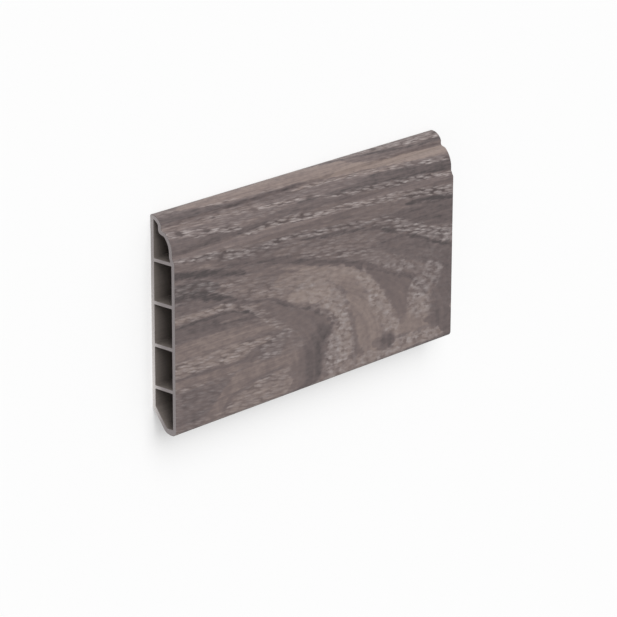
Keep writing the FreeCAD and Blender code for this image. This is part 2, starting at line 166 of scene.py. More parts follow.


# The bands were drawn one by one: where each one runs, how wide it is and how pale. The ticks,
# the fibres and the mottle in them come from noise. Places count from the near end along the board,
# and from the floor edge up the film.
FIELD_GRAIN_AND_SHADE = (
    # The broad grounds that the rest lies on.
    Band(0.5, 0.35, ((70, 67, 70), (90, 63, 71), (110, 59, 70), (130, 55, 68), (150, 55, 60)), soft=3),
    Band(0.3, 0.15, ((134, 58, 62), (150, 46, 60), (165, 42, 56), (178, 20, 50), (200, 14, 46)), soft=3),
    Band(0.3, 0.1, (
        (3, 182, 200), (14, 175, 200), (22, 174, 200), (32, 178, 200), (50, 182, 200)),
        soft=4, upright=True),
    # Low at the near end: fine ticks, and a pale tongue with a warm rim.
    Band(0.38, 0.4, ((-10, 2, 20.5), (10, 4, 20.3), (20, 7, 19.6), (30, 13, 19.2), (40, 17.5, 18.5))),
    Band(0.48, 0.25, ((48, 36, 38), (56, 32, 40), (66, 31, 40), (76, 31, 36))),
    Band(0.5, 0.1, ((64, 8, 14), (72, 2, 18), (80, -10, 21), (90, -10, 22)), soft=3),
    Band(0.76, 0.5, (
        (24, -12, 1), (36, -12, 7), (48, -12, 11.6), (60, -10, 14), (70, 0, 14.5), (78, 8, 11))),
    Band(0.68, 0, (
        (18, 1, 4), (26, 3, 11), (34, 7.5, 17.5), (44, 11.5, 21.6), (55, 14, 22), (66, 15, 21),
        (78, 15, 19.5), (84, 17, 18)), strength=1, soft=2),
    Band(0.42, 0, (
        (28, 2, 3.4), (34, 7.4, 9.2), (42, 10.8, 12.6), (52, 13.2, 14.8), (62, 14.2, 15.4), (70, 15, 15.6)),
        strength=0.8),
    # The pale arches of early wood round the heart, and the warm wood between them.
    Band(0.8, 0.05, (
        (-8, 118, 132), (4, 119, 133), (12, 120, 139), (20, 117, 139), (30, 115, 131), (38, 112, 126),
        (46, 106, 120), (52, 92, 114), (56, 76, 104), (60, 68, 90), (62, 76, 76)), soft=3, upright=True),
    Band(0.78, 0.85, (
        (-8, 98, 120), (5, 98, 118), (12, 98, 119), (20, 99, 118), (26, 105, 117), (32, 101, 114),
        (38, 94, 112), (44, 84, 107), (51, 76, 100), (54, 82, 92), (56, 86, 86)), soft=5, upright=True),
    Band(0.88, 0.75, (
        (11, 148, 150), (15, 139, 152), (22, 134, 149), (30, 129, 141), (38, 125, 137), (44, 120, 131),
        (50, 110, 127), (54, 106, 112), (56, 108, 108)), soft=5, upright=True),
    Band(0.8, 0.05, ((148, 12, 14), (154, 9, 21), (162, 8, 21), (170, 8, 17), (176, 11, 12)), soft=2.5),
    Band(0.36, 0, (
        (8, 120.4, 123), (14, 118.6, 121.4), (20, 116.8, 119.8), (26, 115.8, 118.6), (31, 115, 117)),
        strength=0.5, soft=3.2, upright=True),
    Band(0.42, 0, (
        (114, 51, 53.6), (124, 48, 52.4), (131, 42.5, 50), (137, 36, 46), (143, 28, 43), (148, 22.6, 41.6),
        (153, 20, 40.6), (157, 28, 40), (161, 33, 39), (165, 36, 37.6)), soft=3.2),
    Band(0.54, 0, (
        (16, 149, 154), (24, 144, 155), (30, 143, 156), (34, 146, 154)),
        strength=0.7, soft=4, upright=True),
    Band(0.45, 1.2, (
        (5, 100, 104), (11, 98, 107), (17, 98, 107), (22, 101, 104)), strength=0.5, soft=3, upright=True),
    # The dark edge over the arches, and the ticks that follow it.
    Band(0.24, 0, (
        (112, 53.4, 55), (122, 50.6, 53.4), (132, 46.8, 49.8), (140, 42.4, 45), (150, 39.4, 41.4),
        (160, 36.6, 38.6), (165, 36.6, 37.4)), strength=0.8),
    Band(0.52, 0.5, (
        (80, 65, 67), (90, 62, 68.6), (102, 59.4, 68), (114, 58, 65), (122, 58, 61)), strength=0.8, soft=3),
    Band(0.5, 0.6, (
        (74, 65.4, 66.6), (88, 61.6, 66), (100, 59, 64), (112, 56.2, 60.4), (124, 53, 58.4),
        (134, 48.6, 55.4), (144, 43.8, 51.6), (154, 40.6, 46.8), (163, 37.6, 43.2), (172, 36.8, 40))),
    # The far arch, the knot at its foot, the floor edge, painted shade along the nose at the far end and a
    # pale nick at the far end.
    Band(0.74, 1, (
        (16, 162, 170), (20, 157, 170), (26, 156, 173), (32, 159, 176), (36, 163, 179), (38, 167, 175)),
        soft=5, upright=True),
    Band(0.36, 0.9, (
        (28, 160, 174), (33, 160, 180), (37, 164, 182), (39, 168, 179)),
        strength=0.7, soft=4, upright=True),
    Band(0.26, 0, ((168, 12, 13), (175, 7.5, 16), (182, 3, 16), (200, 2, 15)), strength=0.7, soft=2.6),
    Band(0.76, 1, (
        (120, 1, 4), (130, 1, 8), (142, 1, 6), (152, 1, 9.6), (164, 1, 8), (176, 1, 8), (181, 3, 4))),
    Band(0.36, 0, (
        (104, 2.6, 3.8), (110, 4.6, 6.4), (116, 6.8, 8.8), (122, 7.4, 9.4), (126, 8, 8.6)), strength=0.7),
    Band(0.46, 0.1, (
        (133, 7.6, 12), (137, 6.8, 13.2), (141, 6.4, 13.6), (146, 7, 12.6)), strength=0.85, soft=2.6),
    Band(0.2, 0, ((138.5, 9, 11.4), (142, 6.8, 12.4), (145, 7, 12.2)), strength=0.85, soft=2.8),
    Band(0.7, 0.5, (
        (-10, 0.2, 4.4), (40, 0.2, 4), (80, 0.2, 3.4), (120, 0.2, 4), (152, 0.2, 3)),
        strength=0.5, soft=1.2),
    # Painted shade: a dark line along the nose's underside at the far end.
    Band(0.1, 0, ((154, -1, 0.8), (164, -2, 1.5), (180, -2, 1.7), (200, -2, 1.8)), strength=0.7, soft=0.9),
    Band(0.9, 0.9, ((187, 15.3, 16.1), (187.6, 15, 16.4), (200, 15, 16.4)), strength=0.8, soft=0.8),
    # The ticked and the warm stripes low at the near end.
    Band(0.44, 0.9, (
        (50, 27, 28), (55, 21.6, 29.6), (62, 21.4, 31.4), (67, 22, 32.4), (72, 26, 33), (75, 30, 32))),
    Band(0.68, 0, ((-10, 21.2, 25.4), (20, 21, 25.2), (40, 21.2, 24.4), (52, 21.8, 22.8))),
    Band(0.74, 0.85, ((-10, 20.2, 21.8), (14, 20.2, 21.8), (26, 20, 21.2), (36, 20, 20.4))),
    Band(0.3, 0, (
        (-10, 25.6, 27), (20, 25, 26.6), (40, 24.2, 25.6), (50, 23.8, 24.8)), strength=0.8, soft=1),
    Band(0.82, 0.8, (
        (-10, 26.8, 34.8), (20, 26.8, 34.4), (40, 26.6, 33.8), (52, 28.6, 33.4), (62, 31, 32))),
    Band(0.34, 0, ((46, 24.6, 26), (49.5, 22.6, 27.8), (53, 23, 27.6), (55, 25, 26)), strength=0.8),
    # The stripes halfway up the near end, which bend down into the arches.
    Band(1, 0.7, (
        (72, 46.4, 48.8), (78, 43.4, 49.8), (86, 41.2, 50), (94, 40, 49), (100, 40, 46)),
        strength=0.75, soft=3),
    Band(0.72, 0, (
        (-10, 34.2, 42.8), (20, 34, 42.8), (40, 34, 41.8), (52, 34.2, 40), (64, 33.6, 36)), soft=3.2),
    Band(0.26, 0.05, (
        (-10, 42.4, 50.8), (20, 42.6, 51), (35, 42.6, 50.8), (46, 42.6, 48.6), (56, 41.4, 44.6),
        (63, 40.8, 41.8)), soft=1.8),
    Band(0.08, 0, (
        (-10, 49.4, 50.8), (20, 49.8, 51.4), (35, 49.2, 50.6), (52, 45.6, 46.8)), strength=0.7, soft=1),
    Band(0.1, 0, (
        (22, 46.4, 47), (26, 45.6, 48), (32, 45.4, 46.8), (44, 43.6, 44.6), (56, 42.4, 43)), strength=0.7),
    Band(0.6, 0.3, (
        (28, 46, 46.4), (34, 45.6, 47), (45, 45, 46), (49, 45.4, 45.6)), strength=0.7, soft=0.8),
    Band(0.8, 0.75, ((-10, 51, 55.6), (14, 51.4, 55.2), (28, 51, 55.2), (36, 50.4, 53.8), (44, 49, 51))),
    Band(0.62, 0.85, (
        (38, 50, 53), (46, 47.4, 51.4), (54, 42, 49), (62, 36.4, 46.6), (69, 33, 40), (74, 32.6, 34))),
    Band(0.46, 0.05, (
        (56, 45.4, 48.6), (63, 40.6, 47.4), (70, 35.6, 45), (77, 31, 41), (85, 24, 38.6), (93, 22, 35.6),
        (99, 23, 32.4), (103, 25, 29), (106, 26.4, 27)), soft=2),
    # The dark late wood inside the arches.
    Band(0.22, 0.05, (
        (-10, 70, 84), (1, 76, 89), (4, 82, 93), (8, 83, 97), (14, 82, 97.4), (20, 82, 99.6), (23, 84, 102),
        (26, 88, 103), (28.5, 94, 98)), strength=0.85, soft=7, upright=True),
    Band(0.1, 0, (
        (1, 84, 91), (6, 85.4, 95.6), (12, 86, 96.6), (18, 87.6, 98.4), (22, 92, 101.4), (25.5, 97, 102.6)),
        strength=0.65, soft=6, upright=True),
    Band(0.42, 0, ((73, 10, 12), (76, 7.6, 14), (80, 7.4, 14), (83, 9, 12)), strength=0.7, soft=2),
    # The dark stripes that come in at the near end and run over the arches.
    Band(0.64, 0.55, (
        (20, 60, 66), (30, 58, 65), (42, 56, 64), (54, 52, 60), (66, 46, 58), (76, 50, 55)), soft=2.4),
    Band(0.36, 0.1, ((-10, 55.4, 60.4), (10, 55.4, 60.2), (20, 55.2, 58.4), (28, 55, 56))),
    Band(0.1, 0.6, ((-10, 60.4, 70.4), (10, 60.6, 69.4), (20, 60.8, 68), (28, 62, 64))),
    Band(0.03, 0, (
        (-10, 62.6, 65), (6, 62.8, 64.8), (13, 60.8, 63.8), (20, 57.6, 62), (27, 56.4, 60.6),
        (33, 54.6, 57.6), (38, 53.4, 55.4)), soft=2),
    Band(-0.04, 0, ((19, 58, 61.4), (23, 57.6, 61), (29, 56.6, 59.4)), soft=2),
    Band(0.16, 0, (
        (40, 52.6, 54), (50, 50.2, 52.2), (60, 48, 50), (68, 45.2, 47.4), (75, 41.8, 43.8),
        (83, 38.8, 40.6), (92, 35.2, 37), (99, 30.4, 32.4), (104, 26.4, 28)), strength=0.8),
    Band(0.84, 0.35, (
        (64, 54, 57), (76, 51, 60), (90, 48, 58), (102, 47, 56.5), (112, 47, 54), (120, 49, 51)),
        strength=0.85, soft=3),
    Band(0.34, 0, (
        (26, 67.6, 70), (45, 64.6, 68.6), (56, 62, 66.6), (66, 59.6, 63.2), (76, 58, 59.8), (82, 57, 57.6)),
        strength=0.6, soft=2.6),
    Band(0.06, 0, (
        (-10, 72.4, 76.4), (5, 71.6, 75.6), (15, 69.8, 74.2), (25, 67.8, 72.4), (35, 66.4, 70),
        (44, 65, 67.4)), soft=2.4),
    Band(0, 0, ((-10, 73, 76), (5, 72.4, 75.2), (15, 70.8, 73.6), (24, 69.4, 71.6)), strength=0.8),
    Band(0.2, 0, (
        (28, 73, 74), (40, 70.4, 72.8), (52, 68.4, 71), (62, 66, 69.6), (72, 63.4, 67.2), (82, 60.6, 64.4),
        (92, 58, 61.6), (102, 55.6, 59), (112, 53, 56.6), (122, 49.6, 53))),
    Band(0.44, 0.1, ((-10, 76.2, 79.6), (8, 76, 78.6), (20, 74.6, 76.8), (32, 72.6, 74), (40, 72.4, 73))),
    # The far end's dark field, its row of ticks and the long line under them.
    Band(0.26, 0.05, (
        (134, 71, 72), (148, 66.6, 72), (164, 61, 72), (180, 57.6, 71), (200, 56, 69)), soft=1.8),
    Band(0.36, 1.3, (
        (130, 67.6, 70), (138, 65.6, 71), (146, 62.6, 69.4), (155, 59.2, 66.2), (165, 55.2, 62),
        (176, 51, 58.4), (188, 47.2, 57), (200, 45, 54))),
    Band(0.04, 0, (
        (82, 72.2, 73), (95, 70.4, 72.4), (110, 69, 71.2), (122, 67.8, 69.8), (132, 66.2, 68.2),
        (140, 63.4, 65.4), (150, 59.2, 61.2), (160, 55.6, 57.6), (170, 51.8, 53.8), (180, 48, 50),
        (200, 42.8, 44.2)), strength=0.85, soft=1.7),
)

MOULDING_GRAIN = (
    # Where the face meets the mouldings.
    Band(0.52, 0.15, ((86, 73, 76), (100, 73.6, 78), (122, 72, 78), (148, 71.4, 77), (164, 73.6, 75))),
    Band(0.5, 0, (
        (-10, 81, 84.8), (30, 80.6, 84.8), (50, 77.6, 84.4), (72, 77, 84), (96, 77, 81.4),
        (124, 77.4, 80.4), (140, 77.6, 79)), soft=1.8),
    Band(0.38, 0, (
        (106, 84.6, 86), (130, 82, 87), (150, 81, 85.4), (170, 79, 84.4), (200, 76, 81)), soft=1.8),
    Band(0.28, 0, (
        (102, 76.2, 77), (106, 75.6, 79.4), (111, 75.6, 79), (115, 76, 77)), strength=0.6, soft=1.8),
    Band(0.34, 1.1, (
        (-10, 80.4, 83.4), (10, 78.4, 82), (20, 77, 80.8), (30, 75, 79.2), (40, 73.4, 77.6), (52, 73, 76.8),
        (66, 74.2, 77.2), (82, 73.6, 76.6), (96, 71.8, 74.6), (112, 71.2, 73.8), (126, 69.6, 72),
        (138, 69.4, 70.4))),
    Band(0.02, 0, ((154, 73.4, 74.6), (166, 71.8, 74.8), (178, 70.4, 74.4), (200, 68, 73))),
    # Up the ovolo.
    Band(0.3, 0.05, (
        (-10, 84.6, 95), (14, 84.6, 92), (26, 84.8, 90), (38, 85, 89), (60, 85.4, 90), (84, 85.6, 92),
        (104, 86, 90.4), (118, 86.4, 88))),
    Band(0.16, 0, (
        (14, 85.6, 86.4), (24, 85, 87.8), (42, 85.4, 88), (58, 85.2, 87.4), (76, 84.8, 86.4)),
        strength=0.7, soft=2.4),
    Band(0.6, 1.3, (
        (40, 83.6, 84.2), (52, 83.4, 85.4), (66, 83.4, 86.8), (80, 82, 86.4), (92, 81.2, 84.4),
        (110, 80.8, 84.2), (124, 79, 82.6), (144, 77, 81.8), (160, 75.4, 80), (175, 73.4, 77.8),
        (200, 70.4, 74.4))),
    Band(0.16, 0, (
        (98, 92, 93.4), (116, 90, 95), (134, 88.6, 96.4), (152, 87.4, 94.8), (172, 86, 92.8),
        (200, 83, 90.6))),
    Band(0.38, 0.3, (
        (-10, 97, 102.6), (20, 95, 102.4), (40, 92, 102.4), (66, 92.6, 102.4), (100, 92, 101),
        (122, 93, 98.4), (134, 95, 96.4)), soft=1.8),
    Band(0.66, 0.5, ((-10, 98.4, 102.4), (20, 97.4, 102), (40, 96.4, 101.4), (62, 96.4, 99)), soft=2.4),
    Band(0.42, 1.7, (
        (-10, 94.6, 99.2), (4, 93.6, 98.2), (14, 91.4, 96.6), (24, 89.6, 94.2), (34, 88.4, 91.6),
        (44, 87.4, 89.2))),
    Band(0.62, 1.2, (
        (16, 99.6, 100.4), (28, 98.6, 100.4), (40, 97, 99), (52, 95.6, 97.6), (66, 94, 96.2),
        (88, 92.4, 95), (102, 90, 92), (118, 87.6, 90), (134, 86.4, 89.4), (148, 84.8, 88), (164, 84, 87),
        (178, 82.4, 85.2), (200, 79, 82))),
    Band(0.2, 1, (
        (108, 89.6, 90.6), (120, 87.8, 90.4), (134, 86.4, 89.4), (148, 84.8, 87.8), (164, 84, 86.8),
        (172, 84, 85.4)), strength=0.6),
    Band(0, 0, (
        (82, 91.6, 92.2), (98, 91, 92.4), (116, 89.4, 91.2), (134, 88.6, 90.4), (150, 87.2, 88.8),
        (166, 86.2, 88), (184, 84.6, 85.6)), strength=0.7, soft=1.1),
    # Over the ledge and the bead, with two more rows of ticks under them.
    Band(0.4, 0.45, ((-10, 108, 122), (14, 108, 122), (28, 107.6, 117), (38, 108, 112))),
    Band(0.8, 0, (
        (14, 110, 112), (30, 107.6, 114), (44, 105.4, 114), (80, 104.6, 114), (100, 103, 113.4),
        (118, 102, 112), (130, 102, 106))),
    Band(0.14, 0, (
        (-10, 103.8, 108.8), (18, 103.2, 108), (32, 102.6, 106.6), (48, 102.6, 105.6), (76, 102.8, 105),
        (92, 103, 104)), strength=0.85, soft=2),
    Band(0.78, 1, (
        (26, 107.2, 108.6), (38, 106.2, 107.8), (52, 105.4, 106.4), (66, 105.2, 106.2), (78, 104.8, 105.4)),
        strength=0.7, soft=1),
    Band(0.44, 0.1, (
        (122, 108.6, 111.4), (130, 106, 111.4), (138, 104.4, 111), (160, 102.6, 108.4), (200, 101, 106))),
    Band(1, 0, (
        (112, 102, 104.6), (120, 101.2, 106), (128, 100.4, 106), (138, 99, 104.2), (160, 96.6, 103),
        (180, 94.4, 101.8), (200, 92.4, 100))),
    Band(0.8, 1.2, (
        (84, 100.6, 101.4), (94, 99.6, 102.2), (108, 99, 101.6), (128, 96.8, 99.2), (146, 94.8, 97.2),
        (164, 92.8, 95.2), (184, 90.6, 92.8), (200, 89, 90))),
    Band(0.24, 0.8, ((150, 94.4, 96), (166, 92.6, 95.4), (184, 90.6, 94), (200, 89, 92)), strength=0.75),
    Band(0.3, 1.4, (
        (152, 76.4, 79), (166, 75, 78.6), (180, 72.6, 76.6), (200, 70, 73.6)), strength=0.55, soft=1.6),
    Band(0.5, 1.2, (
        (112, 113, 115), (124, 112, 116), (140, 110.8, 115), (160, 108.2, 113), (200, 106.6, 112)),
        soft=1.8),
    Band(0.02, 0, (
        (108, 112.4, 113.2), (124, 110.6, 111.6), (138, 109, 110.8), (150, 107.2, 109.2),
        (162, 105.9, 107.8), (178, 105.2, 107.2), (200, 104.4, 106.4))),
)


@dataclass(frozen=True)
class Cloud:
    """A soft cloud of noise, drawn out along the grain.

    Attributes:
        size: A patch's length along the grain and its width across it, in mm.
        least: The value in the thin places.
        most: The value in the thick places.
    """

    size: Span
    least: float
    most: float


class Region(Enum):
    """The part of the film that a layer of streaks is drawn on."""

    WHOLE = "the whole film"
    STRAIGHT = "where the grain runs straight"
    ARCHED = "where the grain bends round"


@dataclass(frozen=True)
class Streaks:
    """One layer of faint streaks in the tone.

    Attributes:
        size: A streak's length along the grain and its width across it, in mm.
        depth: How far it shifts the tone.
        region: The part of the film that has them.
        bent: Whether they bend round with the year rings.
    """

    size: Span
    depth: float
    region: Region
    bent: bool = False


# Year rings, coarse fibres, fine fibres, the fibres in the arches and an even mottle. Real fibres are
# about 0.1 mm wide, too fine to show in the render, so they are drawn several times as coarse.
OAK_STREAKS = (
    Streaks((50.0, 7.0), 0.16, Region.WHOLE, bent=True),
    Streaks((24.0, 1.6), 0.2, Region.STRAIGHT),
    Streaks((8.0, 0.75), 0.16, Region.STRAIGHT),
    Streaks((16.0, 3.4), 0.15, Region.ARCHED, bent=True),
    Streaks((3.4, 2.0), 0.18, Region.WHOLE),
)


@dataclass(frozen=True)
class Sheet:
    """The flat film that the print is drawn on.

    Attributes:
        tree: The film's node tree.
        along, up: The place along the board and the place up from the floor edge, in mm.
        point: The two of them as one vector.
    """

    tree: Tree
    along: Socket
    up: Socket
    point: Socket


@dataclass(frozen=True)
class OakPrintFilm:
    """Printed PVC foil, rolled on hot over the extrusion.

    The real one is a calendered film about 0.2 mm thick with a grey oak print and a light emboss.
    It gives the eye soft arches of dark and warm grey, pale broken pore ticks and a dull satin sheen.
    Real ticks are about 0.3 mm wide, too fine to show in the render, so they are drawn 1 mm wide.

    Attributes:
        darkest, dark, middle, warm: The tones from late wood to early wood.
        dark_at, middle_at: Where the middle two stand between the others.
        tick, pore_shade: The colours of a pale tick and of the painted shade in the embossed gap beside it.
        roughness, ior: The sheen, and the index of the film's clear topcoat.
        emboss, emboss_depth: The emboss's strength, and its depth in mm.
        ground, ground_flecks: The tone and the pores under the bands.
        bands: The bands of grain, and one of painted shade along the nose, the lowest first.
        waver, waver_size: How far the bands waver, along and across, and over what distance, in mm.
        fray, fine_fray, arch_fray: How far edges fray, in mm, the last in the arches only.
        whole_fray: The softness in mm from which a band frays in full. A crisper one frays less.
        fade: Where an edge starts and ends to fade in, in shares of its softness, outward below 0.
        taper, crossing: How far past its end a band closes, and its edges cross, in mm.
        fleck_clouds: The clouds that vary the pores.
        cloud_span: The noise in a cloud's thin and thick places.
        heart_up: The height of the arches' middle, in mm.
        arch_rise, arch_power: The height at which a ring has run back 1 mm, and how it curves.
        streaks: The layers of streaks.
        tick_size: The ticks' spacing along and across the grain, in mm.
        tick_fall: How far the ticks' rows fall for each mm along.
        tick_shake, shake_scale: How far the ticks are shaken, in mm, and how often per mm.
        shade_gap_reach, shade_gap_depth: Where the painted shade in the gap beside it starts and is full,
            and how dark it is.
        shade_gap_reach, shade_gap_depth: Where the gap beside it starts and is full, and how dark it is.
        patch_size: The size of the soft patches that are the arches' ticks, in mm.
        patch_reach, patch_paleness: The noise where a patch starts and is full, and how pale it is.
        shaded_hollow_reach, shaded_hollow_depth: The noise where a hollow's painted shade starts and is
            full, and how dark it is.
        arch_start, arch_top: Where the arches start and are whole, along the board and down the film.
        along_span, up_span: The stretches that the bands' edges are drawn over, in mm.
    """

    darkest: str = "#4c4545"
    dark: str = "#665b5a"
    middle: str = "#746764"
    warm: str = "#90817a"
    dark_at: float = 0.3
    middle_at: float = 0.6
    tick: str = "#a69d9b"
    pore_shade: str = "#554b4a"
    roughness: float = 0.5
    ior: float = 1.46
    emboss: float = 0.25
    emboss_depth: float = 0.03
    ground: Cloud = Cloud((30.0, 5.0), 0.4, 0.6)
    ground_flecks: float = 0.3
    bands: tuple[Band, ...] = FIELD_GRAIN_AND_SHADE + MOULDING_GRAIN
    waver: Span = (2.8, 1.4)
    waver_size: Span = (14.0, 7.0)
    fray: Cloud = Cloud((15.0, 1.8), -0.5, 0.5)
    fine_fray: Cloud = Cloud((4.0, 0.9), -0.3, 0.3)
    arch_fray: Cloud = Cloud((6.0, 4.0), -1.2, 1.2)
    whole_fray: float = 1.6
    fade: Span = (-0.4, 0.6)
    taper: float = 3.0
    crossing: float = 2.0
    fleck_clouds: tuple[Cloud, ...] = (Cloud((40.0, 7.0), 0.75, 1.25), Cloud((7.0, 2.2), 0.5, 1.25))
    cloud_span: Span = (0.36, 0.64)
    heart_up: float = 10.0
    arch_rise: float = 8.6
    arch_power: float = 2.55
    streaks: tuple[Streaks, ...] = OAK_STREAKS
    tick_size: Span = (6.0, 1.1)
    tick_fall: float = 0.14
    tick_shake: Span = (2.0, 1.0)
    shake_scale: float = 0.45
    tick_reach: Span = (0.62, 0.12)
    tick_paleness: Span = (0.32, 0.8)
    shade_gap_reach: Span = (0.4, 0.75)
    shade_gap_depth: float = 0.85
    patch_size: Span = (4.2, 1.9)
    patch_reach: Span = (0.34, 0.72)
    patch_paleness: float = 0.72
    shaded_hollow_reach: Span = (0.48, 0.28)
    shaded_hollow_depth: float = 0.4
    arch_start: Span = (62.0, 92.0)
    arch_top: Span = (58.0, 46.0)
    along_span: Span = (-10.0, 200.0)
    up_span: Span = (-20.0, 125.0)

    def dress(self, sizes: Triple) -> Material:
        """Makes the film's material.

        Args:
            sizes: The board's length, its height on the wall and its thickness, in mm.

        Returns:
            The finished material.
        """
        material = fresh_material("printed_oak_film")
        tree = material.node_tree
        sheet = self.unrolled(tree, sizes)
        wandering = self.wander(sheet)
        arched = self.in_arches(wandering)
        tone, flecks = self.grain(sheet, wandering, arched)
        colour = add_node(tree, "ValToRGB", {0: self.streaked(sheet, arched, tone)})
        ramp = colour.node.color_ramp
        ramp.elements[0].color = linear(self.darkest)
        ramp.elements[1].color = linear(self.warm)
        ramp.elements.new(self.dark_at).color = linear(self.dark)
        ramp.elements.new(self.middle_at).color = linear(self.middle)
        colour, height = self.pore_ticks(sheet, arched, flecks, colour)
        depth = self.emboss_depth * MM
        normal = add_node(tree, "Bump", {"Strength": self.emboss, "Distance": depth, "Height": height})
        looks = {"Base Color": colour, "Roughness": self.roughness, "IOR": self.ior, "Normal": normal}
        shader = add_node(tree, "BsdfPrincipled", looks)
        add_node(tree, "OutputMaterial", {"Surface": shader})
        return material

    def unrolled(self, tree: Tree, sizes: Triple) -> Sheet:
        """Flattens the film, so that the print runs round the mouldings and the nose without a stretch.

        The depth below the face is added to the place up the board on the moulded half, and taken from
        it on the other half, where the film runs round the nose.

        Args:
            tree: The film's node tree.
            sizes: The board's length, height on the wall and thickness, in mm.

        Returns:
            The flat film.
        """
        place = add_node(tree, "TexCoord", output="Object")
        scale = (1 / MM, 1 / MM, 1 / MM)
        in_mm = add_node(tree, "VectorMath", {0: place, 1: scale}, operation="MULTIPLY")
        length, width, thickness = sizes
        corner = (length / 2, width / 2, -thickness)
        moved = add_node(tree, "VectorMath", {0: in_mm, 1: corner}, operation="ADD")
        along, across, over_face = add_node(tree, "SeparateXYZ", {0: moved}).node.outputs
        moulded = add_node(tree, "Math", {0: across, 1: width / 2}, operation="GREATER_THAN")
        side = add_node(tree, "Math", {0: moulded, 1: -2.0, 2: 1.0}, operation="MULTIPLY_ADD")
        up = add_node(tree, "Math", {0: over_face, 1: side, 2: across}, operation="MULTIPLY_ADD")
        return Sheet(tree, along, up, add_node(tree, "CombineXYZ", {0: along, 1: up}))

    def wander(self, sheet: Sheet) -> Sheet:
        """Makes the bands waver a little.

        Args:
            sheet: The flat film.

        Returns:
            The film with its places shifted by the waver.
        """
        tree = sheet.tree
        patch = stretched(tree, sheet.point, self.waver_size)
        noise = add_node(tree, "TexNoise", {"Vector": patch, "Scale": 1.0, "Detail": 2.0}, "Color")
        centred = add_node(tree, "VectorMath", {0: noise, 1: (0.5, 0.5, 0.5)}, operation="SUBTRACT")
        shift = add_node(tree, "VectorMath", {0: centred, 1: (*self.waver, 0)}, operation="MULTIPLY")
        bent = add_node(tree, "VectorMath", {0: sheet.point, 1: shift}, operation="ADD")
        along, up, _ = add_node(tree, "SeparateXYZ", {0: bent}).node.outputs
        return Sheet(tree, along, up, bent)

    def in_arches(self, sheet: Sheet) -> Socket:
        """Finds the part of the film where the grain bends round into arches.

        Args:
            sheet: The film, with its waver.

        Returns:
            The share of arched grain, from 0 to 1.
        """
        shares = [
            add_node(sheet.tree, "MapRange", {"Value": place, "From Min": none, "From Max": whole})
            for place, (none, whole) in ((sheet.along, self.arch_start), (sheet.up, self.arch_top))
        ]
        return add_node(sheet.tree, "Math", {0: shares[0], 1: shares[1]}, operation="MULTIPLY")

    def cloud(self, sheet: Sheet, shape: Cloud) -> Socket:
        """Makes a soft cloud that is drawn out along the grain.

        Args:
            sheet: The flat film.
            shape: The cloud's sizes and values.

        Returns:
            The cloud's value.
        """
        patch = stretched(sheet.tree, sheet.point, shape.size)
        given = {"Vector": patch, "Scale": 1.0, "Detail": 1.0}
        noise = add_node(sheet.tree, "TexNoise", given, noise_dimensions="2D")
        thin, thick = self.cloud_span
        given = {"Value": noise, "From Min": thin, "From Max": thick}
        return add_node(sheet.tree, "MapRange", {**given, "To Min": shape.least, "To Max": shape.most})

    def grain(self, sheet: Sheet, wandering: Sheet, arched: Socket) -> tuple[Socket, Socket]:
        """Lays the bands of grain, and the band of painted shade, over the ground, one after another.

        Args:
            sheet: The flat film.
            wandering: The film with its waver.
            arched: The share of arched grain.

        Returns:
            The tone and the share of pores.
        """
        tree = sheet.tree
        coarse, fine, torn = (
            self.cloud(sheet, shape) for shape in (self.fray, self.fine_fray, self.arch_fray)
        )
        ragged = add_node(tree, "Math", {0: coarse, 1: fine}, operation="ADD")
        ragged = add_node(tree, "Math", {0: torn, 1: arched, 2: ragged}, operation="MULTIPLY_ADD")
        tone = self.cloud(sheet, self.ground)
        flecks = self.ground_flecks
        shares = [
            add_node(tree, "MapRange", {"Value": place, "From Min": start, "From Max": end})
            for place, (start, end) in ((wandering.along, self.along_span), (wandering.up, self.up_span))
        ]
        for band in self.bands:
            share, across = (shares[1], wandering.along) if band.upright else (shares[0], wandering.up)
            cover = self.cover(tree, band, share, across, ragged)
            tone = add_node(tree, "Mix", {"Factor": cover, NUMBER_A: tone, NUMBER_B: band.tone})
            flecks = add_node(tree, "Mix", {"Factor": cover, NUMBER_A: flecks, NUMBER_B: band.flecks})
        for shape in self.fleck_clouds:
            patchy = self.cloud(sheet, shape)
            flecks = add_node(tree, "Math", {0: flecks, 1: patchy}, operation="MULTIPLY")
        return tone, flecks

    def tapered(self, band: Band, span: Span) -> list[Triple]:
        """Closes a band's ends where they lie on the film, so that it fades out there.

        Args:
            band: The band to close.
            span: The stretch that the band runs over, in mm.

        Returns:
            Its edge points, with one more past each open end, where the edges have crossed.
        """
        points = list(band.edges)
        ends = ((0, -self.taper, points[0][0] - span[0]), (-1, self.taper, span[1] - points[-1][0]))
        for end, step, room in ends:
            place, low, high = points[end]
            if room > self.taper:
                middle = (low + high) / 2
                crossed = (place + step, middle + self.crossing, middle - self.crossing)
                points.insert(0 if end == 0 else len(points), crossed)
        return points

    def edge_curves(self, tree: Tree, band: Band, share: Socket) -> list[Socket]:
        """Draws a band's two edges as smooth curves through its points.

        Args:
            tree: The film's node tree.
            band: The band.
            share: The place along the band, as a share of the stretch it runs over.

        Returns:
            Where its lower and its upper edge lie, in mm.
        """
        spans = (self.along_span, self.up_span)
        run_span, edge_span = reversed(spans) if band.upright else spans
        curves = add_node(tree, "RGBCurve", {"Color": share}).node
        # Red holds the lower edge and green the upper one.
        for channel in (0, 1):
            curve = curves.mapping.curves[channel]
            for number, point in enumerate(self.tapered(band, run_span)):
                spot = [
                    (value - start) / (end - start)
                    for value, (start, end) in ((point[0], run_span), (point[1 + channel], edge_span))
                ]
                # A new curve has two points already.
                if number < 2:
                    curve.points[number].location = spot
                else:
                    curve.points.new(*spot)
            for point in curve.points:
                point.handle_type = "AUTO_CLAMPED"
        curves.mapping.update()
        edges = add_node(tree, "SeparateColor", {0: curves.outputs[0]}).node.outputs
        start, end = edge_span
        return [
            add_node(tree, "Math", {0: edge, 1: end - start, 2: start}, operation="MULTIPLY_ADD")
            for edge in edges[:2]
        ]

